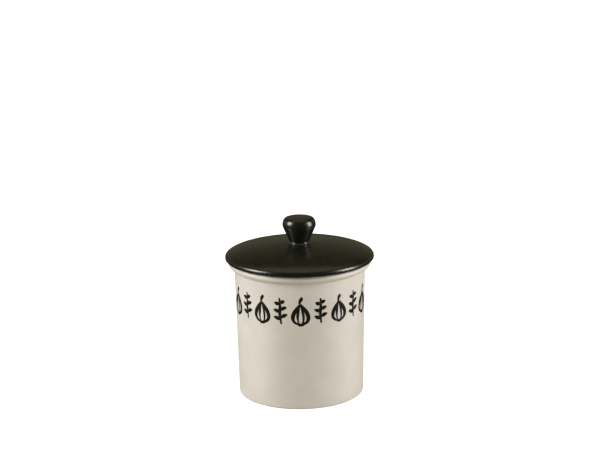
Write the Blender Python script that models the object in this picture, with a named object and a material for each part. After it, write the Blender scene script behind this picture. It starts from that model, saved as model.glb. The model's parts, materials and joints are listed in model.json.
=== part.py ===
"""Garlic keeper: a glazed jar that breathes through vents at its back, and a domed lid with a turned knob.

Blender 4.5, metres, +Z up. The origin is the middle of the foot, on the surface that the jar stands on.
The front of the jar faces -Y. Every piece is turned about the Z axis, so each one is drawn as half of its
cross-section, a list of (radius, height) points, and spun.
"""

from math import cos, pi, radians, sin

import bmesh
import bpy
from mathutils import Matrix, Vector

# The jar, outside
jar_height = 0.1063
foot_radius = 0.0485
wall_top_radius = 0.0505
foot_edge_round = 0.0016
foot_land_width = 0.0054
foot_recess = 0.0015
bead_height = 0.0054
bead_reach = 0.0043

# The jar, inside
wall_thickness = 0.005
floor_thickness = 0.006
floor_cove = 0.007
mouth_edge_round = 0.0015

# The vents: one in the middle of a ring, through the back of the wall
vent_radius = 0.0032
vent_edge_round = 0.0009
vent_pitch = 0.01296
vent_middle_height = 0.062
vents_in_ring = 6
cutter_overrun = 0.003

# The lid: its edge is rounded below the widest line, and a superellipse goes from there up to the crown
lid_radius = 0.0575
lid_edge_round = 0.0027
lid_rise = 0.0101
dome_power = 1.8
edge_power = 1.68
lid_thickness = 0.005

# The flange under the lid, which centres it in the mouth
flange_depth = 0.0095
flange_thickness = 0.0042
flange_edge_round = 0.0012
flange_play = 0.00125
ceiling_cove = 0.003

# The knob
knob_height = 0.0194
knob_radius = 0.01285
knob_neck_radius = 0.00775
knob_foot_flare = 0.0015
knob_foot_height = 0.0014
knob_belly_height = 0.0041
knob_belly_angle = 32
knob_shoulder_height = 0.0057
knob_top_radius = 0.0094
knob_top_rise = 0.0004

# Gaps between pieces that rest on each other
seat_gap = 0.0003
slip_gap = 0.0003

# Faces round each turned piece, and along each rounded stretch of a cross-section
turn_steps = 72
knob_turn_steps = 48
vent_turn_steps = 20
edge_steps = 4
bead_steps = 8
dome_steps = 12
belly_steps = 3
shoulder_steps = 8

# Glazes: colour, roughness
cream_glaze = ((0.72, 0.68, 0.58, 1), 0.28)
black_glaze = ((0.012, 0.011, 0.008, 1), 0.2)


def arc(centre, reach, start, end, steps):
    """Points on an ellipse about centre, with half axes reach, from one angle in degrees to another."""
    angles = [radians(start + (end - start) * step / steps) for step in range(steps + 1)]
    return [(centre[0] + reach[0] * cos(angle), centre[1] + reach[1] * sin(angle)) for angle in angles]


def clear_scene():
    for old in list(bpy.data.objects):
        bpy.data.objects.remove(old)


def glaze(name, colour, roughness):
    material = bpy.data.materials.new(name)
    material.use_nodes = True
    shader = material.node_tree.nodes["Principled BSDF"]
    shader.inputs["Base Color"].default_value = colour
    shader.inputs["Roughness"].default_value = roughness
    shader.inputs["Metallic"].default_value = 0
    return material


def spin_profile(shape, profile, steps):
    """Adds the closed surface that a cross-section sweeps round the Z axis to a bmesh."""
    points = [shape.verts.new((radius, 0, height)) for radius, height in profile]
    lines = [shape.edges.new(pair) for pair in zip(points, points[1:])]
    bmesh.ops.spin(
        shape, geom=points + lines, axis=(0, 0, 1), cent=(0, 0, 0), angle=2 * pi, steps=steps, use_merge=True
    )


def add_object(name, shape, material, parent=None):
    """Closes a bmesh where its points meet, turns its faces outwards and links it as an object."""
    bmesh.ops.remove_doubles(shape, verts=shape.verts, dist=seat_gap / 100)
    bmesh.ops.recalc_face_normals(shape, faces=shape.faces)
    mesh = bpy.data.meshes.new(name)
    shape.to_mesh(mesh)
    shape.free()
    mesh.shade_smooth()
    mesh.set_sharp_from_angle(angle=radians(35))
    mesh.materials.append(material)
    thing = bpy.data.objects.new(name, mesh)
    bpy.context.scene.collection.objects.link(thing)
    thing.parent = parent
    return thing


def turned(name, profile, steps, material, parent=None):
    shape = bmesh.new()
    spin_profile(shape, profile, steps)
    return add_object(name, shape, material, parent)


def wall_radius(height):
    """The outer radius of the wall, which widens evenly from the foot to the bead."""
    share = (height - foot_edge_round) / (jar_height - bead_height - foot_edge_round)
    return foot_radius + (wall_top_radius - foot_radius) * share


def mouth_radius():
    return wall_top_radius - wall_thickness


def jar_profile():
    """Half of the jar cut through, from the middle of its bottom round to the middle of its floor."""
    ring_inside = foot_radius - foot_edge_round - foot_land_width
    floor = foot_recess + floor_thickness
    half_bead = bead_height / 2
    bead_middle = (wall_top_radius + bead_reach - half_bead, jar_height - half_bead)
    mouth_edge = (mouth_radius() + mouth_edge_round, jar_height - mouth_edge_round)
    cove_middle = (foot_radius - wall_thickness - floor_cove, floor + floor_cove)
    return [
        (0, foot_recess),
        (ring_inside - foot_recess, foot_recess),
        (ring_inside, 0),
        *arc((foot_radius - foot_edge_round, foot_edge_round), (foot_edge_round,) * 2, -90, 0, edge_steps),
        (wall_top_radius, jar_height - bead_height),
        *arc(bead_middle, (half_bead, half_bead), -90, 90, bead_steps),
        *arc(mouth_edge, (mouth_edge_round,) * 2, 90, 180, edge_steps),
        *arc(cove_middle, (floor_cove, floor_cove), 0, -90, edge_steps),
        (0, floor),
    ]


def vent_profile():
    """Half of a vent's cutter, along its own axis: straight through the wall, and flared at the outer face."""
    skin = wall_radius(vent_middle_height)
    flare = vent_radius + vent_edge_round
    return [
        (0, skin - wall_thickness - cutter_overrun),
        (vent_radius, skin - wall_thickness - cutter_overrun),
        *arc((flare, skin - vent_edge_round), (vent_edge_round,) * 2, 180, 90, edge_steps),
        (flare, skin + cutter_overrun),
        (0, skin + cutter_overrun),
    ]


def vent_cutters(material):
    """One cutter for all the vents: each is spun upright, laid down along +Y and set in its place."""
    places = [(0, 0)]
    for vent in range(vents_in_ring):
        turn = 2 * pi * vent / vents_in_ring
        places.append((vent_pitch * cos(turn), vent_pitch * sin(turn)))
    shape = bmesh.new()
    for across, up in places:
        before = set(shape.verts)
        spin_profile(shape, vent_profile(), vent_turn_steps)
        lie_down = Matrix.Rotation(radians(-90), 4, "X")
        round_wall = Matrix.Rotation(-across / wall_radius(vent_middle_height), 4, "Z")
        lift = Matrix.Translation((0, 0, vent_middle_height + up))
        mine = [point for point in shape.verts if point not in before]
        bmesh.ops.transform(shape, matrix=lift @ round_wall @ lie_down, verts=mine)
    cutters = add_object("vent_cutters", shape, material)
    cutters.hide_render = True
    cutters.display_type = "WIRE"
    return cutters


def make_jar(material):
    jar = turned("jar_body", jar_profile(), turn_steps, material)
    vents = jar.modifiers.new("vents", "BOOLEAN")
    vents.operation = "DIFFERENCE"
    vents.solver = "EXACT"
    vents.object = vent_cutters(material)
    return jar


def dome(drop=0):
    """The lid's top from the crown out to its widest line, above the underside, or lower by drop."""
    points = []
    for step in range(dome_steps + 1):
        turn = pi / 2 * step / dome_steps
        radius = lid_radius * sin(turn) ** (2 / dome_power)
        rise = lid_rise * max(cos(turn), 0) ** (2 / edge_power)
        points.append((radius, lid_edge_round + rise - drop))
    return points


def ceiling_height(radius):
    share = radius / lid_radius
    rise = lid_rise * (1 - share**dome_power) ** (1 / edge_power)
    return lid_edge_round + rise - lid_thickness


def lid_profile():
    """Half of the lid cut through, from the crown round its edge and flange to the middle of the ceiling.

    Heights are from the underside that rests on the jar's rim.
    """
    flange_outside = mouth_radius() - flange_play
    flange_inside = flange_outside - flange_thickness
    cove_radius = flange_inside - ceiling_cove
    cove_bottom = ceiling_height(cove_radius) - ceiling_cove
    edge_middle = lid_radius - lid_edge_round
    toe = (flange_edge_round,) * 2
    toe_height = flange_edge_round - flange_depth
    return [
        *dome(),
        *arc((edge_middle, lid_edge_round), (lid_edge_round,) * 2, 0, -90, edge_steps)[1:],
        (flange_outside, 0),
        *arc((flange_outside - flange_edge_round, toe_height), toe, 0, -90, edge_steps),
        *arc((flange_inside + flange_edge_round, toe_height), toe, -90, -180, edge_steps),
        *arc((cove_radius, cove_bottom), (ceiling_cove, ceiling_cove), 0, 90, edge_steps),
        *[point for point in reversed(dome(lid_thickness)) if point[0] < cove_radius - ceiling_cove],
    ]


def knob_profile():
    """Half of the knob cut through: flared foot, neck, straight cone, round belly and nearly flat top.

    The belly starts at knob_belly_angle below its widest line, where the cone runs into it smoothly.
    """
    flare_middle = (knob_neck_radius + knob_foot_flare, knob_foot_height)
    widest = knob_height - knob_top_rise - knob_shoulder_height
    belly = (knob_radius - knob_top_radius, knob_belly_height)
    shoulder = (knob_radius - knob_top_radius, knob_shoulder_height)
    return [
        (0, 0),
        *arc(flare_middle, (knob_foot_flare, knob_foot_height), -90, -180, edge_steps),
        *arc((knob_top_radius, widest), belly, -knob_belly_angle, 0, belly_steps)[:-1],
        *arc((knob_top_radius, widest), shoulder, 0, 90, shoulder_steps),
        (knob_top_radius / 2, knob_height - knob_top_rise / 4),
        (0, knob_height),
    ]


def make_lid(material):
    """The lid and its knob hang from an empty on the lift axis, level with the seat on the jar's rim."""
    lift = bpy.data.objects.new("lid_lift", None)
    lift.location = Vector((0, 0, jar_height + seat_gap))
    lift.empty_display_size = knob_radius
    bpy.context.scene.collection.objects.link(lift)
    turned("lid_plate", lid_profile(), turn_steps, material, lift)
    knob = turned("lid_knob", knob_profile(), knob_turn_steps, material, lift)
    knob.location.z = lid_edge_round + lid_rise + slip_gap


clear_scene()
make_jar(glaze("cream_glaze", *cream_glaze))
make_lid(glaze("black_glaze", *black_glaze))
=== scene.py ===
# %% [markdown]
# # A garlic keeper
#
# The real object is a small stoneware pot for bulbs of garlic. It has a cream glaze, a rolled bead at its
# rim and air vents at its back. A black domed lid sits loosely on the rim, and a turned knob is joined to
# the lid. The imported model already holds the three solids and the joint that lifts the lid. This lesson
# dresses them: each piece is made again with fine curves, soft edges and a glaze, and it stays exactly
# where its solid is.

import json
from math import atan, atan2, cos, degrees, pi, radians, sin
from random import Random

import bmesh
import bpy
from mathutils import Matrix, Vector

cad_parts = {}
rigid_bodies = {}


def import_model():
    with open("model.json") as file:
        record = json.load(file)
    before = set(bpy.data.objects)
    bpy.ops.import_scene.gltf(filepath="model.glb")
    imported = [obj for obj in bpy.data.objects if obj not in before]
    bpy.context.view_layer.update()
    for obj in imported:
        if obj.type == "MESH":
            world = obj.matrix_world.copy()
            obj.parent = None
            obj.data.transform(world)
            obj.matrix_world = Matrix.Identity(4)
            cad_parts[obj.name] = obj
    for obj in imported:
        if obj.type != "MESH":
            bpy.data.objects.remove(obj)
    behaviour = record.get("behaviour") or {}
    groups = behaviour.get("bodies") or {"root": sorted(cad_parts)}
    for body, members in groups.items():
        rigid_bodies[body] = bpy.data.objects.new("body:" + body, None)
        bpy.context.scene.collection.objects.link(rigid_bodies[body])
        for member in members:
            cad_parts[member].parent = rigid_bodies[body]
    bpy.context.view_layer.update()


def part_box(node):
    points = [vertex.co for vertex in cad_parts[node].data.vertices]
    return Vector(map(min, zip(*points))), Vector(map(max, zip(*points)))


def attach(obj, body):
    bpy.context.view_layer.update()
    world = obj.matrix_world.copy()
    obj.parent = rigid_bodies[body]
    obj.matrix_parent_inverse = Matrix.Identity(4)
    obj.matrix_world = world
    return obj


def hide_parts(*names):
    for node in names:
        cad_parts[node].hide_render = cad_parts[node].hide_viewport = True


for old in list(bpy.data.objects):
    bpy.data.objects.remove(old)
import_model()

# %% [markdown]
# ## Measure before making
#
# The solids say where everything is, so heights and radii are read from their boxes. What a box can't say,
# such as the thickness of a wall, is a named value. Most of these are the CAD source's. The lid's edge and
# the knob are drawn more finely here, so a few values differ by a fraction of a millimetre.

# %% Read the places of the three solids
jar_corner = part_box("jar_body")[1]
lid_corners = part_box("lid_plate")
knob_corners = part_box("lid_knob")
jar_height = jar_corner.z
bead_radius = jar_corner.x
lid_radius = lid_corners[1].x
flange_toe = lid_corners[0].z
crown = lid_corners[1].z
knob_radius = knob_corners[1].x
knob_top = knob_corners[1].z
print("jar %.1f mm tall, bead %.1f mm across" % (jar_height * 1000, bead_radius * 2000))
print("lid %.1f mm across, knob top at %.1f mm" % (lid_radius * 2000, knob_top * 1000))

# %% [markdown]
# ## Half of a cross-section
#
# A potter shapes these pieces on a wheel, against a profile. The same idea works here: a piece is drawn as
# half of its cross-section, a row of (radius, height) points, and is swept round the upright axis
# afterwards. Spinning each outline by hand in Edit Mode would do too, but points from a function can be
# changed by one number. Rounded corners are parts of ellipses, so one helper draws them all.

# %% A helper that draws part of an ellipse
def arc(centre, reach, start, end, steps):
    """Points about centre, with half axes reach, from one angle in degrees to another."""
    angles = [radians(start + (end - start) * step / steps) for step in range(steps + 1)]
    return [(centre[0] + reach[0] * cos(angle), centre[1] + reach[1] * sin(angle)) for angle in angles]


quarter = arc((0, 0), (1, 1), 0, 90, 8)
print("a quarter of a circle in %d points" % len(quarter))

# %% Helpers that link a new object, and draw a cross-section as joined points
def add_object(name, data):
    thing = bpy.data.objects.new(name, data)
    bpy.context.scene.collection.objects.link(thing)
    return thing


def add_shape(name, shape):
    mesh = bpy.data.meshes.new(name)
    shape.to_mesh(mesh)
    shape.free()
    return add_object(name, mesh)


def draw_section(name, points):
    """X holds the radius and Z the height, and each point is joined to the next one."""
    mesh = bpy.data.meshes.new(name)
    lines = [(index, index + 1) for index in range(len(points) - 1)]
    mesh.from_pydata([(radius, 0, height) for radius, height in points], lines, [])
    print(name, "has", len(points), "points")
    return add_object(name, mesh)

# %% [markdown]
# ## Node trees that can be read
#
# Geometry Nodes suit shapes that follow a rule, and a turned shape is one. A tree is usually clicked
# together in the editor. In a script, small helpers keep it short: they start a tree with named inputs, add
# a node and plug things into it, do sums, take a vector apart and move points.

# %% Helpers that build a node tree
def start_tree(name, inputs):
    """A Geometry Nodes tree with a geometry input and output, and one more input for each (label, kind)."""
    tree = bpy.data.node_groups.new(name, "GeometryNodeTree")
    tree.interface.new_socket("Geometry", in_out="INPUT", socket_type="NodeSocketGeometry")
    for label, kind in inputs:
        tree.interface.new_socket(label, in_out="INPUT", socket_type="NodeSocket" + kind)
    tree.interface.new_socket("Geometry", in_out="OUTPUT", socket_type="NodeSocketGeometry")
    return tree, tree.nodes.new("NodeGroupInput").outputs


def plug(tree, node, inputs):
    """Gives each input of a node, by name or number, a value or a link from another node's output."""
    for label, value in inputs.items():
        if isinstance(value, bpy.types.NodeSocket):
            tree.links.new(value, node.inputs[label])
        else:
            node.inputs[label].default_value = value


def add_node(tree, kind, inputs, **settings):
    node = tree.nodes.new(kind)
    for setting, value in settings.items():
        setattr(node, setting, value)
    plug(tree, node, inputs)
    return node.outputs


def sums(tree, operation, *values):
    """The result of one Math node."""
    return add_node(tree, "ShaderNodeMath", dict(enumerate(values)), operation=operation)["Value"]


def times(tree, first, second):
    return sums(tree, "MULTIPLY", first, second)


def split(tree, vector):
    """The X, Y and Z of a vector."""
    return add_node(tree, "ShaderNodeSeparateXYZ", {"Vector": vector})


def join(tree, x=0, y=0, z=0):
    """A vector from its X, Y and Z."""
    return add_node(tree, "ShaderNodeCombineXYZ", {"X": x, "Y": y, "Z": z})["Vector"]


def move_points(tree, geometry, place):
    """The geometry with each point at the place worked out for it."""
    return add_node(tree, "GeometryNodeSetPosition", {"Geometry": geometry, "Position": place})["Geometry"]


def gather(tree, *parts):
    """One geometry out of several."""
    joined = tree.nodes.new("GeometryNodeJoinGeometry")
    for part in parts:
        tree.links.new(part, joined.inputs["Geometry"])
    return joined.outputs["Geometry"]


def end_tree(tree, geometry, material):
    """Ends a tree as plain geometry with its material."""
    real = add_node(tree, "GeometryNodeRealizeInstances", {"Geometry": geometry})["Geometry"]
    glazed = add_node(tree, "GeometryNodeSetMaterial", {"Geometry": real, "Material": material})["Geometry"]
    add_node(tree, "NodeGroupOutput", {"Geometry": glazed})
    print(tree.name, "has", len(tree.nodes), "nodes")

# %% [markdown]
# ## Unroll, then roll up
#
# A turned pot is hard to pierce and a flat sheet is easy. So the first group lays the surface out flat:
# along X goes the share of a turn, from 0 at the front through 0.5 at the back to 1, Y holds the radius and
# Z the height. Vents and paint are added in that flat world, where a step to the side is just a number. The
# second group rolls everything up: each flat point goes to its angle and radius, and points that meet
# become one, as in the first and last columns and in the middle of the floor.

# %% The group that unrolls a cross-section into a flat sheet
def make_unroll():
    tree, given = start_tree("unroll", [("Faces Round", "Int")])
    size = add_node(tree, "GeometryNodeAttributeDomainSize", {"Geometry": given["Geometry"]})["Point Count"]
    columns = sums(tree, "ADD", given["Faces Round"], 1)
    sheet_size = {"Size X": 1, "Size Y": 1, "Vertices X": columns, "Vertices Y": size}
    sheet = add_node(tree, "GeometryNodeMeshGrid", sheet_size)["Mesh"]
    place = add_node(tree, "GeometryNodeInputPosition", {})["Position"]
    flat = split(tree, place)
    turn = sums(tree, "ADD", flat["X"], 0.5)
    row = times(tree, sums(tree, "ADD", flat["Y"], 0.5), sums(tree, "SUBTRACT", size, 1))
    read = {"Geometry": given["Geometry"], "Value": place, "Index": sums(tree, "ROUND", row)}
    read = add_node(tree, "GeometryNodeSampleIndex", read, data_type="FLOAT_VECTOR")["Value"]
    point = split(tree, read)
    sheet = move_points(tree, sheet, join(tree, turn, point["X"], point["Z"]))
    add_node(tree, "NodeGroupOutput", {"Geometry": sheet})
    return tree


unroll = make_unroll()
print("unroll has", len(unroll.nodes), "nodes")

# %% The group that rolls the sheet up round the upright axis
meeting_distance = 0.000001


def make_roll_up():
    tree, given = start_tree("roll up", [])
    flat = split(tree, add_node(tree, "GeometryNodeInputPosition", {})["Position"])
    angle = times(tree, flat["X"], 2 * pi)
    across = times(tree, flat["Y"], sums(tree, "SINE", angle))
    ahead = times(tree, flat["Y"], sums(tree, "COSINE", angle))
    back = times(tree, ahead, -1)
    rolled = move_points(tree, given["Geometry"], join(tree, across, back, flat["Z"]))
    met = add_node(tree, "GeometryNodeMergeByDistance", {"Geometry": rolled, "Distance": meeting_distance})
    smooth = add_node(tree, "GeometryNodeSetShadeSmooth", {"Geometry": met["Geometry"]})["Geometry"]
    add_node(tree, "NodeGroupOutput", {"Geometry": smooth})
    return tree


roll_up = make_roll_up()
print("roll up has", len(roll_up.nodes), "nodes")


def use_group(tree, group, inputs):
    return add_node(tree, "GeometryNodeGroup", inputs, node_tree=group)["Geometry"]

# %% The tree for a plain turned piece
def make_turned_piece():
    tree, given = start_tree("turned piece", [("Faces Round", "Int"), ("Glaze", "Material")])
    flat = {"Geometry": given["Geometry"], "Faces Round": given["Faces Round"]}
    sheet = use_group(tree, unroll, flat)
    end_tree(tree, use_group(tree, roll_up, {"Geometry": sheet}), given["Glaze"])
    return tree


turned_piece = make_turned_piece()

# %% [markdown]
# A modifier's inputs have hidden identifiers, and those are what a script sets. The finished mesh is then
# read from the evaluated object and kept, and the modifier goes.

# %% A helper that runs a tree on an object and keeps the result as a plain mesh
def keep_result(thing, tree, values):
    modifier = thing.modifiers.new(tree.name, "NODES")
    modifier.node_group = tree
    for item in tree.interface.items_tree:
        if item.in_out == "INPUT" and item.name in values:
            modifier[item.identifier] = values[item.name]
    evaluated = thing.evaluated_get(bpy.context.evaluated_depsgraph_get())
    mesh = bpy.data.meshes.new_from_object(evaluated)
    thing.modifiers.remove(modifier)
    thing.data = mesh
    mesh.name = thing.name
    print(thing.name, "has", len(mesh.vertices), "points and", len(mesh.polygons), "faces")

# %% [markdown]
# ## Glazes and bare clay
#
# The pot's glaze is a satin cream that is never quite even: it clouds a little, and gathers on the bead and
# in the crease under it, which are also painted darker as shade. The lid's black glaze is warm and
# smoother. Neither covers what stands on the kiln shelf or carries the lid, because glaze would stick there,
# so the foot and the rim's seat are bare buff clay. Image textures could hold all that, but noise on Object
# coordinates needs no picture, has no seam and fits at any distance. Masks worked out from height and
# radius say where the clay is bare.

# %% Helpers for materials
def start_material(name):
    material = bpy.data.materials.new(name)
    material.use_nodes = True
    return material, material.node_tree, material.node_tree.nodes["Principled BSDF"]


def object_place(tree):
    """The point's place in the pot's own coordinates: (vector, radius, height)."""
    place = add_node(tree, "ShaderNodeTexCoord", {})["Object"]
    level = add_node(tree, "ShaderNodeVectorMath", {0: place, 1: (1, 1, 0)}, operation="MULTIPLY")["Vector"]
    radius = add_node(tree, "ShaderNodeVectorMath", {0: level}, operation="LENGTH")["Value"]
    return place, radius, split(tree, place)["Z"]


def ramp(tree, value, low, high):
    """0 below low and 1 above high, with a smooth step between them."""
    limits = {"Value": value, "From Min": low, "From Max": high}
    return add_node(tree, "ShaderNodeMapRange", limits, interpolation_type="SMOOTHSTEP")["Result"]


def blend(tree, share, first, second, low=0, high=1):
    """Evenly from the first value, where the share is low, to the second, where it is high."""
    limits = {"Value": share, "From Min": low, "From Max": high, "To Min": first, "To Max": second}
    return add_node(tree, "ShaderNodeMapRange", limits)["Result"]


def band(tree, value, low, high, soft):
    """1 between low and high, and 0 beyond them, with soft edges."""
    rise = ramp(tree, value, low - soft, low + soft)
    fall = ramp(tree, value, high + soft, high - soft)
    return times(tree, rise, fall)


def mix_colour(tree, share, first, second):
    """The sockets go by number, as several share a name."""
    return add_node(tree, "ShaderNodeMix", {0: share, 6: first, 7: second}, data_type="RGBA")[2]


def noise(tree, place, scale, detail, roughness):
    settings = {"Vector": place, "Scale": scale, "Detail": detail, "Roughness": roughness}
    return add_node(tree, "ShaderNodeTexNoise", settings)["Fac"]


def bump(tree, height, distance, strength):
    inputs = {"Height": height, "Distance": distance, "Strength": strength}
    return add_node(tree, "ShaderNodeBump", inputs)["Normal"]

# %% The bare clay, which both glazes leave free in places
clay_light = (0.56, 0.44, 0.3, 1)
clay_dark = (0.43, 0.32, 0.2, 1)
clay_roughness = 0.85
clay_grain = 900, 4, 0.7
grain_edges = 0.35, 0.65


def clay_colour(tree, place):
    grain = noise(tree, place, *clay_grain)
    return mix_colour(tree, ramp(tree, grain, *grain_edges), clay_dark, clay_light), grain


print("clay from", clay_dark[:3], "to", clay_light[:3])

# %% [markdown]
# The pot's cream glaze. Its clouds are about 2 cm wide and barely lighter than the rest. It is thicker on
# the bead and in the crease, and it is painted darker there, partly for that and partly as painted shade
# under the lid and in the crease. The surface has the faint ripple of fired glaze, as bump.

# %% The cream glaze
cloud_edges = 0.35, 0.7
satin_edges = 0.3, 0.7
ripple_depth = 0.0001
cream = (0.65, 0.6, 0.535, 1)
cream_cloud = (0.685, 0.634, 0.568, 1)
cream_pooled_shade = (0.54, 0.47, 0.345, 1)
cream_roughness = (0.4, 0.48)
cream_ior = 1.65
cream_clouds = 45, 3, 0.55
cream_ripples = 260, 2, 0.4
cream_ripple_strength = 0.12
foot_land_height = 0.0003
seat_inside, seat_outside, seat_soft = 0.0472, 0.0519, 0.0002
seat_depth = 0.00025
# The crease and the bead are painted darker: partly glaze that pools there, partly painted shade under the
# lid and in the crease.
crease_bottom, crease_top, crease_soft = 0.0997, 0.101, 0.0006
bead_glaze_top, bead_soft = 0.1036, 0.0012
crease_pooling_shade, bead_pooling_shade = 0.15, 0.5
outside_edges = 0.048, 0.0485


def make_cream_glaze():
    material, tree, shader = start_material("cream_glaze_fired")
    place, radius, height = object_place(tree)
    plug(tree, shader, {"IOR": cream_ior})
    cloud = noise(tree, place, *cream_clouds)
    colour = mix_colour(tree, ramp(tree, cloud, *cloud_edges), cream, cream_cloud)
    crease = band(tree, height, crease_bottom, crease_top, crease_soft)
    bead = band(tree, height, crease_bottom, bead_glaze_top, bead_soft)
    crease, bead = times(tree, crease, crease_pooling_shade), times(tree, bead, bead_pooling_shade)
    # Painted shade with pooled glaze: darkens the crease and the bead, on the outside only.
    pooling_shade_share = times(tree, sums(tree, "ADD", crease, bead), ramp(tree, radius, *outside_edges))
    colour = mix_colour(tree, pooling_shade_share, colour, cream_pooled_shade)
    foot = ramp(tree, height, foot_land_height, 0)
    seat_ring = band(tree, radius, seat_inside, seat_outside, seat_soft)
    seat_top = ramp(tree, height, jar_height - seat_depth, jar_height - seat_depth / 2)
    bare = sums(tree, "MAXIMUM", foot, times(tree, seat_ring, seat_top))
    clay, grain = clay_colour(tree, place)
    satin = blend(tree, cloud, *cream_roughness, *satin_edges)
    surface = blend(tree, bare, noise(tree, place, *cream_ripples), grain)
    plug(tree, shader, {
        "Base Color": mix_colour(tree, bare, colour, clay),
        "Roughness": blend(tree, bare, satin, clay_roughness),
        "Normal": bump(tree, surface, ripple_depth, cream_ripple_strength),
    })
    return material


cream_glaze = make_cream_glaze()
print(cream_glaze.name, "has", len(cream_glaze.node_tree.nodes), "nodes")

# %% [markdown]
# The lid's black glaze is a warm iron black. It breaks lighter where it runs thin, on the slip under the
# knob, and that lighter ring is also a painted highlight along the slip. The ring that sits on the rim, and
# the flange below it, are bare. The band is painted with the same black.

# %% The black glaze
black = (0.0072, 0.0076, 0.0049, 1)
black_cloud = (0.0105, 0.0102, 0.0068, 1)
black_roughness = (0.25, 0.29)
black_ior = 1.68
black_sheen = (1, 0.955, 0.85, 1)
# Lighter black for the slip under the knob: thin glaze, and a painted highlight.
black_thin_highlight = (0.035, 0.032, 0.025, 1)
black_clouds = 70, 3, 0.55
black_ripples = 300, 2, 0.4
black_ripple_strength = 0.1
clay_above_seat = 0.00012, 0.00004
clay_past_flange = 0.0008, 0.0012
clay_past_seat = 0.0006, 0.0002
slip_ring_fade = 0.0008


def make_black_glaze(name, bare_mask=None, thin_highlight_mask=None):
    """Each mask takes (tree, radius, height) and returns 1 where it applies: bare clay, and thin glaze
    painted lighter as a highlight.
    """
    material, tree, shader = start_material(name)
    place, radius, height = object_place(tree)
    plug(tree, shader, {"IOR": black_ior, "Specular Tint": black_sheen})
    cloud = noise(tree, place, *black_clouds)
    colour = mix_colour(tree, ramp(tree, cloud, *cloud_edges), black, black_cloud)
    # The slip ring is painted lighter: thin glaze, and a painted highlight.
    if thin_highlight_mask:
        colour = mix_colour(tree, thin_highlight_mask(tree, radius, height), colour, black_thin_highlight)
    rough = blend(tree, cloud, *black_roughness, *satin_edges)
    surface = noise(tree, place, *black_ripples)
    if bare_mask:
        bare = bare_mask(tree, radius, height)
        clay, grain = clay_colour(tree, place)
        colour = mix_colour(tree, bare, colour, clay)
        rough = blend(tree, bare, rough, clay_roughness)
        surface = blend(tree, bare, surface, grain)
    normal = bump(tree, surface, ripple_depth, black_ripple_strength)
    plug(tree, shader, {"Base Color": colour, "Roughness": rough, "Normal": normal})
    return material


def lid_bare(tree, radius, height):
    """The seat ring under the lid and the flange, outside and at its toe."""
    below_seat = ramp(tree, height, *[seat_level + offset for offset in clay_above_seat])
    outside_flange = ramp(tree, radius, *[flange_inside + offset for offset in clay_past_flange])
    inside_lip = ramp(tree, radius, *[seat_outside + offset for offset in clay_past_seat])
    return times(tree, below_seat, times(tree, outside_flange, inside_lip))


def slip_ring_highlight(tree, radius, height):
    """The hollow round of slip under the knob, painted lighter as thin glaze and as a painted highlight."""
    return ramp(tree, height, slip_ring_top, slip_ring_top - slip_ring_fade)


print("black from", black[:3], "to", black_cloud[:3])

# %% [markdown]
# ## The pot
#
# The pot's wall leans out evenly from the foot, a crease and a rolled bead finish the rim, and the vents at
# the back let the garlic breathe. The wall's rows lie on the same lattice as the vents, so a patch of wall
# with a hole in it fits exactly where a square of the wall was taken out.

# %% Sizes of the pot that its box can't tell
foot_radius = 0.0485
wall_top_radius = 0.0505
foot_edge_round = 0.0016
foot_land_width = 0.0054
foot_recess = 0.0015
foot_corner = 0.0005
bead_height = 0.0054
crease_round = 0.0014
wall_thickness = 0.005
floor_thickness = 0.006
floor_cove = 0.007
mouth_edge_round = 0.0015
flat_steps, corner_steps, edge_steps, cove_steps = 6, 3, 10, 12
crease_steps, bead_steps, mouth_steps = 10, 28, 8

hexagon_rise = sin(radians(60))
vent_radius = 0.0032
vent_lip = 0.0009
vent_pitch = 0.01296
vent_middle_height = 0.062
pot_faces_round = 192
tile_faces = 8
row_height = vent_pitch * hexagon_rise / tile_faces
rows_below_vents, rows_above_vents = 42, 26


def wall_radius(height):
    """The outer radius of the wall at a height."""
    share = (height - foot_edge_round) / (jar_height - bead_height - foot_edge_round)
    return foot_radius + (wall_top_radius - foot_radius) * share


wall_lean = (wall_radius(jar_height) - wall_radius(0)) / jar_height
print("a row of the wall is %.2f mm tall" % (row_height * 1000))

# %% The wall's rows, and the bead with the crease under it
rows = range(-rows_below_vents, rows_above_vents + 1)
wall_rows = [vent_middle_height + row_height * row for row in rows]


def bead_points():
    """Up the crease, where the glaze has run into a hollow round, and round the bead to the rim's top."""
    half_bead = bead_height / 2
    bead_middle = (bead_radius - half_bead, jar_height - half_bead)
    crease_radius = wall_radius(jar_height - bead_height - crease_round) + crease_round
    aside = bead_middle[0] - crease_radius
    below = ((half_bead + crease_round) ** 2 - aside**2) ** 0.5
    turn = degrees(atan2(below, aside))
    return [
        *arc((crease_radius, bead_middle[1] - below), (crease_round,) * 2, 180, turn, crease_steps)[:-1],
        *arc(bead_middle, (half_bead,) * 2, turn - 180, 90, bead_steps),
    ]


print(len(wall_rows), "rows, from %.1f to %.1f mm" % (wall_rows[0] * 1000, wall_rows[-1] * 1000))
print("the crease starts at %.1f mm" % (bead_points()[0][1] * 1000))

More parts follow.
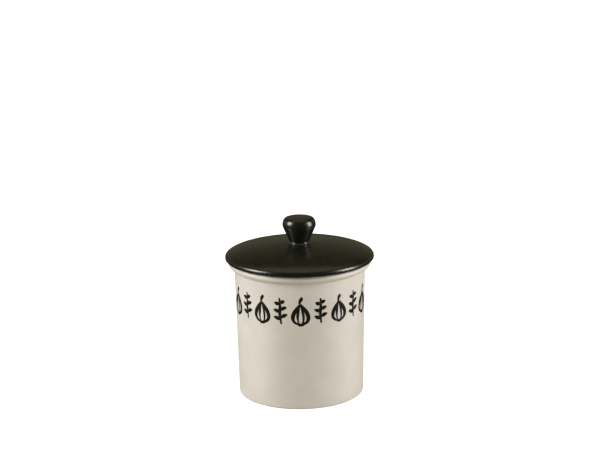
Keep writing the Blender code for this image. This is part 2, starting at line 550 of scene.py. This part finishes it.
# %% The pot's cross-section, from under its foot up the outside and down the inside
def pot_points():
    ring_inside = foot_radius - foot_edge_round - foot_land_width
    floor = foot_recess + floor_thickness
    mouth_radius = wall_top_radius - wall_thickness
    cove_middle = (foot_radius - wall_thickness - floor_cove, floor + floor_cove)
    mouth_edge = (mouth_radius + mouth_edge_round, jar_height - mouth_edge_round)
    corner = (foot_corner,) * 2
    inner_rows = [height for height in reversed(wall_rows) if height > cove_middle[1] + row_height / 2]
    return [
        *[(ring_inside * step / flat_steps, foot_recess) for step in range(flat_steps)],
        *arc((ring_inside - foot_recess, foot_recess - foot_corner), corner, 90, 45, corner_steps),
        *arc((ring_inside + foot_corner, foot_corner), corner, 225, 270, corner_steps),
        *arc((foot_radius - foot_edge_round, foot_edge_round), (foot_edge_round,) * 2, -90, 0, edge_steps),
        *[(wall_radius(height), height) for height in wall_rows],
        *bead_points(),
        *arc(mouth_edge, (mouth_edge_round,) * 2, 90, 180, mouth_steps),
        *[(wall_radius(height) - wall_thickness, height) for height in inner_rows],
        *arc(cove_middle, (floor_cove,) * 2, 0, -90, cove_steps),
        *[(cove_middle[0] * step / flat_steps, floor) for step in reversed(range(flat_steps))],
    ]


garlic_pot = draw_section("garlic_pot", pot_points())

# %% [markdown]
# ## The patch with a vent
#
# Seven round vents make a flower: one in the middle of a ring of six. A Boolean would cut them, but it
# leaves long thin faces and sharp lips. Here one patch is modelled well instead: square outside, where it
# meets the wall's faces point by point, round inside, with a soft lip at each face of the wall. Geometry
# Nodes then set it seven times. The patch is flat, in the same coordinates as the unrolled sheet.

# %% Model one vent and the patch of wall round it
skin_radius = wall_radius(vent_middle_height)
turn_length = 2 * pi * skin_radius


def square_point(index):
    """A point on the rim of a square of half size 1, counted round from the middle of its right side."""
    side, step = divmod((index + tile_faces // 2) % (4 * tile_faces), tile_faces)
    slide = 2 * step / tile_faces - 1
    return ((1, slide), (-slide, 1), (-1, -slide), (slide, -1))[side]


def vent_ring(radius, depth, squareness=0):
    """A closed row of points round the vent: (turn, minus the depth, height), from round to square."""
    half_width = turn_length * tile_faces / pot_faces_round / 2
    half_height = row_height * tile_faces / 2
    narrowing = skin_radius / (skin_radius - depth)
    points = []
    for index in range(4 * tile_faces):
        angle = 2 * pi * index / (4 * tile_faces)
        square = square_point(index)
        across = radius * cos(angle) * narrowing * (1 - squareness) + square[0] * half_width * squareness
        up = radius * sin(angle) * (1 - squareness) + square[1] * half_height * squareness
        points.append((across / turn_length, -depth, up))
    return points


lip_radius = vent_radius + vent_lip
lip_turns = [radians(turn) for turn in range(0, 91, 18)]
lip = [(lip_radius - vent_lip * sin(turn), vent_lip * (1 - cos(turn))) for turn in lip_turns]
square_to_round = (1, 0.75, 0.5, 0.25)
outer_rings = [vent_ring(lip_radius, 0, squareness) for squareness in square_to_round]
outer_rings += [vent_ring(radius, depth) for radius, depth in lip]
inner_rings = [vent_ring(radius, wall_thickness - depth) for radius, depth in reversed(lip)]
inner_rings += [vent_ring(lip_radius, wall_thickness, squareness) for squareness in reversed(square_to_round)]


def make_patch(rings):
    shape = bmesh.new()
    rows = [[shape.verts.new(point) for point in ring] for ring in rings]
    for row, next_row in zip(rows, rows[1:]):
        for index in range(len(row)):
            after = (index + 1) % len(row)
            shape.faces.new((row[index], row[after], next_row[after], next_row[index]))
    return add_shape("vent_patch", shape)


vent_patch = make_patch(outer_rings + inner_rings)
print("one vent patch has", len(vent_patch.data.polygons), "faces")

# %% The tree that pierces the pot
turn_at_back = 0.5
vents_in_ring = 6


def make_pierced_pot():
    """Swaps three patches of wall in the middle row, and two in each row next to it, for vents."""
    tree, given = start_tree("pierced pot", [
        ("Faces Round", "Int"), ("Patch", "Object"), ("Patch Faces", "Int"), ("Row Height", "Float"),
        ("Middle Height", "Float"), ("Middle Radius", "Float"), ("Lean", "Float"), ("Glaze", "Material"),
    ])
    flat = {"Geometry": given["Geometry"], "Faces Round": given["Faces Round"]}
    sheet = use_group(tree, unroll, flat)

    point = split(tree, add_node(tree, "GeometryNodeInputPosition", {})["Position"])
    from_back = sums(tree, "ABSOLUTE", sums(tree, "SUBTRACT", point["X"], turn_at_back))
    faces_away = times(tree, from_back, given["Faces Round"])
    columns = sums(tree, "DIVIDE", faces_away, given["Patch Faces"])
    from_middle = sums(tree, "ABSOLUTE", sums(tree, "SUBTRACT", point["Z"], given["Middle Height"]))
    patch_height = times(tree, given["Row Height"], given["Patch Faces"])
    rows = sums(tree, "DIVIDE", from_middle, patch_height)
    three_patches = times(tree, sums(tree, "LESS_THAN", rows, 0.5), sums(tree, "LESS_THAN", columns, 1.5))
    two_patches = times(tree, sums(tree, "LESS_THAN", rows, 1.5), sums(tree, "LESS_THAN", columns, 1))
    covered = sums(tree, "MAXIMUM", three_patches, two_patches)
    opened = add_node(
        tree, "GeometryNodeDeleteGeometry", {"Geometry": sheet, "Selection": covered}, domain="FACE"
    )["Geometry"]

    flower = add_node(
        tree, "GeometryNodeMeshCircle", {"Vertices": vents_in_ring, "Radius": 1}, fill_type="TRIANGLE_FAN"
    )["Mesh"]
    share = sums(tree, "DIVIDE", given["Patch Faces"], given["Faces Round"])
    turn = sums(tree, "ADD", times(tree, point["X"], share), turn_at_back)
    row_step = sums(tree, "DIVIDE", patch_height, hexagon_rise)
    height = sums(tree, "ADD", times(tree, point["Y"], row_step), given["Middle Height"])
    spots = move_points(tree, flower, join(tree, turn, 0, height))
    patch = add_node(tree, "GeometryNodeObjectInfo", {"Object": given["Patch"]})["Geometry"]
    set_out = {"Points": spots, "Instance": patch}
    patches = add_node(tree, "GeometryNodeInstanceOnPoints", set_out)["Instances"]
    patches = add_node(tree, "GeometryNodeRealizeInstances", {"Geometry": patches})["Geometry"]
    rise = times(tree, sums(tree, "SUBTRACT", point["Z"], given["Middle Height"]), given["Lean"])
    skin = sums(tree, "ADD", given["Middle Radius"], rise)
    radius = sums(tree, "ADD", skin, point["Y"])
    patches = move_points(tree, patches, join(tree, point["X"], radius, point["Z"]))

    whole = {"Geometry": gather(tree, opened, patches)}
    end_tree(tree, use_group(tree, roll_up, whole), given["Glaze"])
    return tree


pierced_pot = make_pierced_pot()

# %% Turn and pierce the pot
def open_edges(thing):
    """How many edges don't have exactly two faces: none on a closed surface."""
    shape = bmesh.new()
    shape.from_mesh(thing.data)
    count = sum(not edge.is_manifold for edge in shape.edges)
    shape.free()
    return count


keep_result(garlic_pot, pierced_pot, {
    "Faces Round": pot_faces_round,
    "Patch": vent_patch,
    "Patch Faces": tile_faces,
    "Row Height": row_height,
    "Middle Height": vent_middle_height,
    "Middle Radius": skin_radius,
    "Lean": wall_lean,
    "Glaze": cream_glaze,
})
bpy.data.objects.remove(vent_patch)
print("open edges on the pot:", open_edges(garlic_pot))

# %% [markdown]
# ## The lid
#
# The lid overhangs the bead. Its dome falls slowly from the knob and ever faster towards the lip, as a
# superellipse does. Underneath, a flange drops into the mouth and keeps the lid from sliding off.

# %% Sizes of the lid that its box can't tell
flange_depth = 0.0095
flange_thickness = 0.0042
flange_edge_round = 0.0012
flange_play = 0.00125
ceiling_cove = 0.003
lid_thickness = 0.005
lid_faces_round = 192
dome_power = 1.6
edge_power = 1.7
dome_base = 0.00285
seat_corner = 0.0005
seat_level = flange_toe + flange_depth
dome_level = seat_level + dome_base
lid_rise = crown - dome_level
flange_outside = wall_top_radius - wall_thickness - flange_play
flange_inside = flange_outside - flange_thickness


def dome_height(radius):
    """The height of the lid's top at a radius."""
    share = min(radius / lid_radius, 1)
    return dome_level + lid_rise * (1 - share**dome_power) ** (1 / edge_power)


print("the lid sits at %.1f mm and rises to %.1f mm" % (seat_level * 1000, crown * 1000))

# %% The lip: part of an upright ellipse that the dome runs into smoothly
lip_start = 0.05639
lip_stretch = 1.25
lip_under = 0.0017
lip_under_steps, lip_over_steps = 16, 12
slope_step = 0.00001
fall = (dome_height(lip_start - slope_step) - dome_height(lip_start + slope_step)) / (2 * slope_step)
lip_turn = atan(lip_stretch / fall)
lip_reach = (lid_radius - lip_start) / (1 - cos(lip_turn))
lip_rise = lip_reach * lip_stretch
lip_height = dome_height(lip_start) - lip_rise * sin(lip_turn)


def lip_points():
    """From the seat out round the lip's lower edge, and up to where the dome starts."""
    under, over = (lip_under, lip_height - seat_level), (lip_reach, lip_rise)
    return [
        *arc((lid_radius - lip_under, lip_height), under, -90, 0, lip_under_steps)[:-1],
        *arc((lid_radius - lip_reach, lip_height), over, 0, degrees(lip_turn), lip_over_steps),
    ]


print("the lip is widest at %.2f mm, with half axes of %.2f and %.2f mm" % (
    lip_height * 1000, lip_reach * 1000, lip_rise * 1000
))

# %% The lid's cross-section, from the middle of its ceiling down the flange and up over the lip
ceiling_steps, dome_steps, toe_steps, seat_steps = 40, 60, 8, 4
ceiling_gap, cove_gap, lip_gap = 0.001, 0.0005, 0.0002


def dome(steps, drop=0):
    """Points of the dome from its widest line to the crown, or on the ceiling under it, lower by drop."""
    points = []
    for step in range(steps + 1):
        turn = pi / 2 * (1 - step / steps)
        radius = lid_radius * sin(turn) ** (2 / dome_power)
        rise = lid_rise * max(cos(turn), 0) ** (2 / edge_power)
        points.append((radius, dome_level + rise - drop))
    return points


def lid_points():
    """The gaps keep the points of one stretch from crowding those of the next."""
    cove_radius = flange_inside - ceiling_cove
    cove_bottom = dome_height(cove_radius) - lid_thickness - ceiling_cove
    ceiling = reversed(dome(ceiling_steps, drop=lid_thickness))
    toe = (flange_edge_round,) * 2
    toe_height = seat_level - flange_depth + flange_edge_round
    flange_heights = [seat_level - flange_depth * eighths / 8 for eighths in range(1, 7)]
    seat_middle = (flange_outside + seat_corner, seat_level - seat_corner)
    return [
        *[point for point in ceiling if point[0] < cove_radius - ceiling_gap],
        *arc((cove_radius, cove_bottom), (ceiling_cove,) * 2, 90, 0, edge_steps),
        *[(flange_inside, height) for height in flange_heights if height < cove_bottom - cove_gap],
        *arc((flange_inside + flange_edge_round, toe_height), toe, 180, 270, toe_steps),
        *arc((flange_outside - flange_edge_round, toe_height), toe, 270, 360, toe_steps),
        *[(flange_outside, height) for height in reversed(flange_heights)],
        *arc(seat_middle, (seat_corner,) * 2, 180, 90, seat_steps),
        *lip_points(),
        *[point for point in dome(dome_steps) if point[0] < lip_start - lip_gap],
    ]


domed_lid = draw_section("domed_lid", lid_points())
keep_result(domed_lid, turned_piece, {
    "Faces Round": lid_faces_round,
    "Glaze": make_black_glaze("black_glaze_fired", lid_bare),
})
print("open edges on the lid:", open_edges(domed_lid))

# %% [markdown]
# ## The knob
#
# The knob is a cone that widens upwards to a round belly and a nearly flat top. It is joined to the lid
# with a little fillet of slip, which shows as a bright ring, because a hollow curve mirrors the lamps in a
# small place, and because the slip's glaze is painted lighter there as a highlight.

# %% The knob's cross-section, from under its foot to the middle of its top
knob_neck_radius = 0.00775
knob_fillet_width = 0.0014
knob_fillet_height = 0.0012
knob_belly_height = 0.0041
knob_belly_angle = 32
knob_shoulder_height = 0.0055
knob_top_radius = 0.0096
knob_top_rise = 0.0002
knob_shoulder_angle = 86
fillet_sink = 0.00006
slip_share = 0.8
knob_faces_round = 128
knob_foot_steps, cone_steps, shoulder_steps, top_steps = 5, 12, 22, 14


def knob_points():
    fillet_radius = knob_neck_radius + knob_fillet_width
    foot = dome_height(fillet_radius) - fillet_sink
    fillet = (knob_fillet_width, knob_fillet_height)
    widest = knob_top - knob_top_rise - knob_shoulder_height
    side = knob_radius - knob_top_radius
    cone_start = (knob_neck_radius, foot + knob_fillet_height)
    belly = arc((knob_top_radius, widest), (side, knob_belly_height), -knob_belly_angle, 0, edge_steps)
    cone = []
    for step in range(1, cone_steps):
        share = step / cone_steps
        radius = cone_start[0] + (belly[0][0] - cone_start[0]) * share
        cone.append((radius, cone_start[1] + (belly[0][1] - cone_start[1]) * share))
    shoulder_reach = (side, knob_shoulder_height)
    shoulder = arc((knob_top_radius, widest), shoulder_reach, 0, knob_shoulder_angle, shoulder_steps)
    top_start = shoulder[-1]
    top = []
    for step in range(1, top_steps + 1):
        radius = top_start[0] * (1 - step / top_steps)
        top.append((radius, top_start[1] + (knob_top - top_start[1]) * (1 - (radius / top_start[0]) ** 2)))
    return [
        *[(fillet_radius * step / knob_foot_steps, foot) for step in range(knob_foot_steps)],
        *arc((fillet_radius, foot + knob_fillet_height), fillet, -90, -180, edge_steps),
        *cone,
        *belly[:-1],
        *shoulder,
        *top,
    ]


turned_knob = draw_section("turned_knob", knob_points())
slip_ring_top = dome_height(knob_neck_radius) + knob_fillet_height * slip_share
keep_result(turned_knob, turned_piece, {
    "Faces Round": knob_faces_round,
    "Glaze": make_black_glaze("black_glaze_knob", thin_highlight_mask=slip_ring_highlight),
})
print("open edges on the knob:", open_edges(turned_knob))

# %% [markdown]
# ## The painted band
#
# A potter paints such a band freehand with a loaded brush, before the glaze firing: plain marks for what
# the pot holds, here a row of garlic bulbs with a leaf sprig between them. Each brush stroke swells and
# thins, and the paint stands a little proud of the glaze. A stroke is drawn as a line with a radius at each
# of its points. The tree sets the two motifs out along a straight band, sweeps a flat lens along every
# line, and then bends the band on to the wall with the group that rolled up the pot.

# %% A helper that turns a line into brush strokes with round ends
brush = Random(7)
stroke_step = 0.0006
end_turns = (0, 25, 50, 75)
wobble_share, wobble_turns = 0.06, 9


def along(points, distance):
    """The point at a distance along a line of points."""
    for start, end in zip(points, points[1:]):
        length = (end - start).length
        if distance <= length:
            return start.lerp(end, distance / length)
        distance -= length
    return points[-1]


def stroke(points, thin, thick, lean=0.5):
    """(point, radius) pairs along a stroke that swells from thin to thick, sooner if lean is over 0.5."""
    line = [Vector(point) for point in points]
    length = sum((end - start).length for start, end in zip(line, line[1:]))
    steps = max(round(length / stroke_step), 4)
    ends = [thin * (1 - cos(radians(turn))) for turn in end_turns]
    inner = [length * step / steps for step in range(steps + 1)]
    inner = [distance for distance in inner if thin < distance < length - thin]
    distances = ends + inner + [length - distance for distance in reversed(ends)]
    wobble = brush.uniform(0, 2 * pi)
    pairs = []
    for distance in distances:
        share = distance / length
        swell = sin(pi * share ** (0.5 / lean)) ** 2
        radius = thin + (thick - thin) * swell + thin * wobble_share * sin(wobble + share * wobble_turns)
        near = min(distance, length - distance)
        if near < thin:
            radius *= max(1 - (1 - near / thin) ** 2, 0) ** 0.5
        pairs.append((along(line, distance), radius))
    return pairs


test_stroke = stroke([(0, 0), (0, 0.01)], 0.0007, 0.0012)
print("a 10 mm stroke has", len(test_stroke), "points")

# %% The two motifs
bulb_half_width = 0.0062
bulb_half_height = 0.0078
bulb_widening, bulb_neck_power, bulb_drop = 1.25, 1.2, 0.0024
clove_share = 0.38
leaf_offset, leaf_rise, leaf_droop = 0.0004, 0.95, 0.5
leaf_steps = 8


def bulb_line(width_share, start, end, steps=24):
    """Part of a teardrop: narrow at the neck, where the turn is 0, and round at the bottom."""
    points = []
    for step in range(steps + 1):
        turn = radians(start + (end - start) * step / steps)
        across = bulb_half_width * width_share * sin(turn) * sin(abs(turn) / 2) ** bulb_neck_power
        points.append((across * bulb_widening, bulb_half_height * cos(turn) - bulb_drop))
    return points


bulb_strokes = [
    stroke(bulb_line(1, 12, 184), 0.0009, 0.0017, 0.62),
    stroke(bulb_line(1, -10, -178), 0.0009, 0.0016, 0.6),
    stroke(bulb_line(clove_share, 34, 158), 0.0006, 0.00105),
    stroke(bulb_line(clove_share, -30, -155), 0.0006, 0.0011),
    stroke([(-0.0006, 0.005), (0, 0.0075), (0.0013, 0.0098), (0.0011, 0.0108)], 0.0009, 0.0014, 0.35),
    stroke([(-0.0022, -0.0109), (0.0024, -0.0108)], 0.0006, 0.001),
]


def leaf(side, height, length):
    """A leaf that leaves the stem at a height and droops at its tip."""
    points = []
    for step in range(leaf_steps + 1):
        share = step / leaf_steps
        rise = length * (leaf_rise * share - leaf_droop * share**2)
        points.append((side * (leaf_offset + length * share), height + rise))
    return points


stem = [(0.0003, -0.0105), (-0.0004, -0.003), (0.0002, 0.004), (0, 0.0098)]
leaves = [
    leaf(-1, -0.0071, 0.0048), leaf(1, -0.0055, 0.0051), leaf(-1, -0.0016, 0.0047),
    leaf(1, 0.0002, 0.0047), leaf(-1, 0.0042, 0.0039), leaf(1, 0.0054, 0.0037),
]
sprig_strokes = [stroke(stem, 0.0008, 0.0012)] + [stroke(line, 0.0008, 0.0016, 0.55) for line in leaves]
print(len(bulb_strokes), "strokes for a bulb and", len(sprig_strokes), "for a sprig")

# %% Keep a motif as lines with a radius at each point
def draw_motif(name, strokes):
    points, lines, radii = [], [], []
    for pairs in strokes:
        first = len(points)
        points += [(point.x, point.y, 0) for point, radius in pairs]
        radii += [radius for point, radius in pairs]
        lines += [(index, index + 1) for index in range(first, len(points) - 1)]
    mesh = bpy.data.meshes.new(name)
    mesh.from_pydata(points, lines, [])
    mesh.attributes.new("brush_radius", "FLOAT", "POINT").data.foreach_set("value", radii)
    return add_object(name, mesh)


bulb_motif = draw_motif("bulb_motif", bulb_strokes)
sprig_motif = draw_motif("sprig_motif", sprig_strokes)
print("motif points:", len(bulb_motif.data.vertices), len(sprig_motif.data.vertices))

# %% The tree that sets out the motifs, gives them body and bends them on to the wall
most_tilt = 0.05
least_size, most_size = 0.96, 1.04
brush_sides = 10


def make_painted_band():
    tree, given = start_tree("painted band", [
        ("Bulb", "Object"), ("Sprig", "Object"), ("Marks", "Int"), ("Spacing", "Float"),
        ("Band Height", "Float"), ("Band Radius", "Float"), ("Lean", "Float"), ("Thickness Share", "Float"),
        ("Seed", "Int"), ("Glaze", "Material"),
    ])
    half_length = times(tree, sums(tree, "SUBTRACT", given["Marks"], 1), 0.5)
    first = times(tree, times(tree, half_length, given["Spacing"]), -1)
    line = add_node(tree, "GeometryNodeMeshLine", {
        "Count": given["Marks"],
        "Start Location": join(tree, first),
        "Offset": join(tree, given["Spacing"]),
    })["Mesh"]
    index = add_node(tree, "GeometryNodeInputIndex", {})["Index"]
    odd = sums(tree, "MODULO", index, 2)
    tilt = add_node(tree, "FunctionNodeRandomValue", {
        "Min": (0, 0, -most_tilt), "Max": (0, 0, most_tilt), "ID": index, "Seed": given["Seed"]
    }, data_type="FLOAT_VECTOR")["Value"]
    size = {2: least_size, 3: most_size, "ID": index, "Seed": given["Seed"]}
    size = add_node(tree, "FunctionNodeRandomValue", size)[1]
    motifs = []
    for label, chosen in (("Bulb", sums(tree, "SUBTRACT", 1, odd)), ("Sprig", odd)):
        motif = add_node(tree, "GeometryNodeObjectInfo", {"Object": given[label]})["Geometry"]
        laid = {"Points": line, "Selection": chosen, "Instance": motif, "Rotation": tilt, "Scale": size}
        motifs.append(add_node(tree, "GeometryNodeInstanceOnPoints", laid)["Instances"])
    drawn = {"Geometry": gather(tree, *motifs)}
    drawn = add_node(tree, "GeometryNodeRealizeInstances", drawn)["Geometry"]
    curves = add_node(tree, "GeometryNodeMeshToCurve", {"Mesh": drawn})["Curve"]
    width = add_node(tree, "GeometryNodeInputNamedAttribute", {"Name": "brush_radius"})["Attribute"]
    upright = add_node(tree, "GeometryNodeSetCurveNormal", {"Curve": curves}, mode="Z_UP")["Curve"]
    sized = add_node(tree, "GeometryNodeSetCurveRadius", {"Curve": upright, "Radius": width})["Curve"]
    circle = {"Resolution": brush_sides, "Radius": 1}
    circle = add_node(tree, "GeometryNodeCurvePrimitiveCircle", circle)["Curve"]
    flatten = join(tree, 1, given["Thickness Share"], 1)
    flat_lens = add_node(tree, "GeometryNodeTransform", {"Geometry": circle, "Scale": flatten})["Geometry"]
    swept = add_node(tree, "GeometryNodeCurveToMesh", {
        "Curve": sized, "Profile Curve": flat_lens, "Scale": width, "Fill Caps": True
    })["Mesh"]
    point = split(tree, add_node(tree, "GeometryNodeInputPosition", {})["Position"])
    turn = sums(tree, "DIVIDE", point["X"], times(tree, given["Band Radius"], 2 * pi))
    skin = sums(tree, "ADD", given["Band Radius"], times(tree, point["Y"], given["Lean"]))
    radius = sums(tree, "ADD", skin, point["Z"])
    height = sums(tree, "ADD", point["Y"], given["Band Height"])
    bent = move_points(tree, swept, join(tree, turn, radius, height))
    end_tree(tree, use_group(tree, roll_up, {"Geometry": bent}), given["Glaze"])
    return tree


painted_band_tree = make_painted_band()

# %% Paint the band
band_height = 0.0788
band_marks = 9
band_spacing = 0.0155
band_seed = 3
paint_share = 0.11

painted_band = draw_section("painted_band", [(0, 0)])
keep_result(painted_band, painted_band_tree, {
    "Bulb": bulb_motif,
    "Sprig": sprig_motif,
    "Marks": band_marks,
    "Spacing": band_spacing,
    "Band Height": band_height,
    "Band Radius": wall_radius(band_height),
    "Lean": wall_lean,
    "Thickness Share": paint_share,
    "Seed": band_seed,
    "Glaze": make_black_glaze("black_paint"),
})
for motif in (bulb_motif, sprig_motif):
    bpy.data.objects.remove(motif)
print("open edges on the paint:", open_edges(painted_band))

# %% [markdown]
# ## Put the pieces on their bodies
#
# Every piece rides on the body that carries it, so it moves when the joint moves. The three turned pieces
# stand for their solids, which stay in the physics.

# %% Ride and replace
for piece, body, node, slot in (
    (garlic_pot, "jar", "jar_body", "cream_glaze"),
    (domed_lid, "lid", "lid_plate", "black_glaze"),
    (turned_knob, "lid", "lid_knob", "black_glaze"),
    (painted_band, "jar", None, "black_glaze"),
):
    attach(piece, body)
    if node:
        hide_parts(node)
    print(piece.name, "rides on", body)

# %% [markdown]
# ## The camera
#
# The picture was taken from a little above the rim and from well back, with the pot low in a wide frame.
# The camera aims at the pot's middle and is then tilted, panned and rolled, so that the pot lands where it
# is in the frame. A lens shift would only slide the picture, and a tilt changes the perspective too.

# %% Set up the camera
frame_width = 600
camera_target = Vector((0, 0, 0.0585))
camera_distance = 1.404
camera_elevation = radians(17.21)
camera_roll = radians(0.866)
lens, sensor = 108, 36
pixel = sensor / lens / frame_width
right_pixels, down_pixels = -0.92, 92.4

camera_data = bpy.data.cameras.new("camera")
camera_data.lens = lens
camera_data.sensor_width = sensor
camera = add_object("camera", camera_data)
look = Matrix.Rotation(pi / 2 - camera_elevation, 4, "X")
tilt = Matrix.Rotation(atan(down_pixels * pixel), 4, "X")
pan = Matrix.Rotation(atan(right_pixels * pixel), 4, "Y")
roll = Matrix.Rotation(-camera_roll, 4, "Z")
back_off = camera_distance * Vector((0, -cos(camera_elevation), sin(camera_elevation)))
camera.matrix_world = Matrix.Translation(camera_target + back_off) @ look @ tilt @ pan @ roll
bpy.context.scene.camera = camera
print("the camera stands at", tuple(round(value, 3) for value in camera.matrix_world.translation))

# %% [markdown]
# ## Floor, lamps and air
#
# The pot stands on a plain white floor. Two softboxes light it, one at each side, and a dimmer one hangs
# overhead, slightly behind the pot. The side boxes give the knob and the lip their highlights and the wall
# its bright sides, and the overhead box draws the soft band along the front of the lip. Little else shows
# in reflections, which keeps the black glaze black. A light tent would be simpler, but it would grey the
# whole lid.

# %% The floor: white in the picture, dark in reflections
floor_size = 30
floor_white = 0.65
floor_glow = 0.86
floor_mirrored = 0.04


def make_floor():
    shape = bmesh.new()
    bmesh.ops.create_grid(shape, x_segments=1, y_segments=1, size=floor_size / 2)
    floor = add_shape("floor", shape)
    material, tree, shader = start_material("white_floor")
    path = add_node(tree, "ShaderNodeLightPath", {})
    seen = sums(tree, "MAXIMUM", path["Is Camera Ray"], path["Is Transmission Ray"])
    white = (floor_white,) * 3 + (1,)
    dark = (floor_mirrored,) * 3 + (1,)
    plug(tree, shader, {
        "Base Color": mix_colour(tree, path["Is Glossy Ray"], white, dark),
        "Roughness": 1,
        "Specular IOR Level": 0,
        "Emission Color": (1, 1, 1, 1),
        "Emission Strength": times(tree, seen, floor_glow),
    })
    floor.data.materials.append(material)


make_floor()
print("the floor is %d m wide" % floor_size)

# %% The softboxes
left_power, right_power, top_power = 22.3, 21.4, 1.45
side_white = (0.95, 0.962, 1)
top_warmth = (1, 0.94, 0.7)


def softbox(name, azimuth, elevation, distance, width, height, power, colour):
    """A rectangular lamp that faces the pot. Azimuth 0 is the camera's side, and 90 is the right."""
    lamp = bpy.data.lights.new(name, "AREA")
    lamp.shape = "RECTANGLE"
    lamp.size, lamp.size_y = width, height
    lamp.energy = power
    lamp.color = colour
    thing = add_object(name, lamp)
    level = distance * cos(radians(elevation))
    rise = distance * sin(radians(elevation))
    spot = Vector((level * sin(radians(azimuth)), -level * cos(radians(azimuth)), rise))
    aim = Vector((0, 0, jar_height))
    thing.rotation_euler = (aim - spot).to_track_quat("-Z", "Y").to_euler()
    thing.location = spot
    print(name, "at", tuple(round(value, 2) for value in spot))


softbox("left_softbox", -75, 27, 1.6, 0.7, 0.8, left_power, side_white)
softbox("right_softbox", 78, 18.5, 1.6, 0.65, 1.1, right_power, side_white)
softbox("top_softbox", 180, 80, 1.2, 1.2, 1.0, top_power, top_warmth)

# %% The air
fill_light = (0.325, 0.308, 0.212, 1)
studio_dark = 0.017
backdrop_glow = 0.175
backdrop_top = 0.68
backdrop_edges = -0.2, 0.6
studio_warmth = (1, 0.93, 0.6, 1)


def make_air():
    """White for the camera, an even fill for diffuse light, and in reflections dark but for a backdrop."""
    world = bpy.data.worlds.new("studio")
    bpy.context.scene.world = world
    world.use_nodes = True
    tree = world.node_tree
    path = add_node(tree, "ShaderNodeLightPath", {})
    way = split(tree, add_node(tree, "ShaderNodeTexCoord", {})["Generated"])
    low, behind = ramp(tree, way["Z"], backdrop_top, 0), ramp(tree, way["Y"], *backdrop_edges)
    backdrop = times(tree, low, behind)
    mirrored = sums(tree, "ADD", times(tree, backdrop, backdrop_glow), studio_dark)
    mirrored = mix_colour(tree, mirrored, (0, 0, 0, 1), studio_warmth)
    level = mix_colour(tree, path["Is Glossy Ray"], fill_light, mirrored)
    seen = sums(tree, "MAXIMUM", path["Is Camera Ray"], path["Is Transmission Ray"])
    plug(tree, tree.nodes["Background"], {"Color": mix_colour(tree, seen, level, (1, 1, 1, 1))})


make_air()
bpy.context.scene.view_settings.view_transform = "Standard"
print("fill light", fill_light[:3], "and", studio_dark, "in reflections")
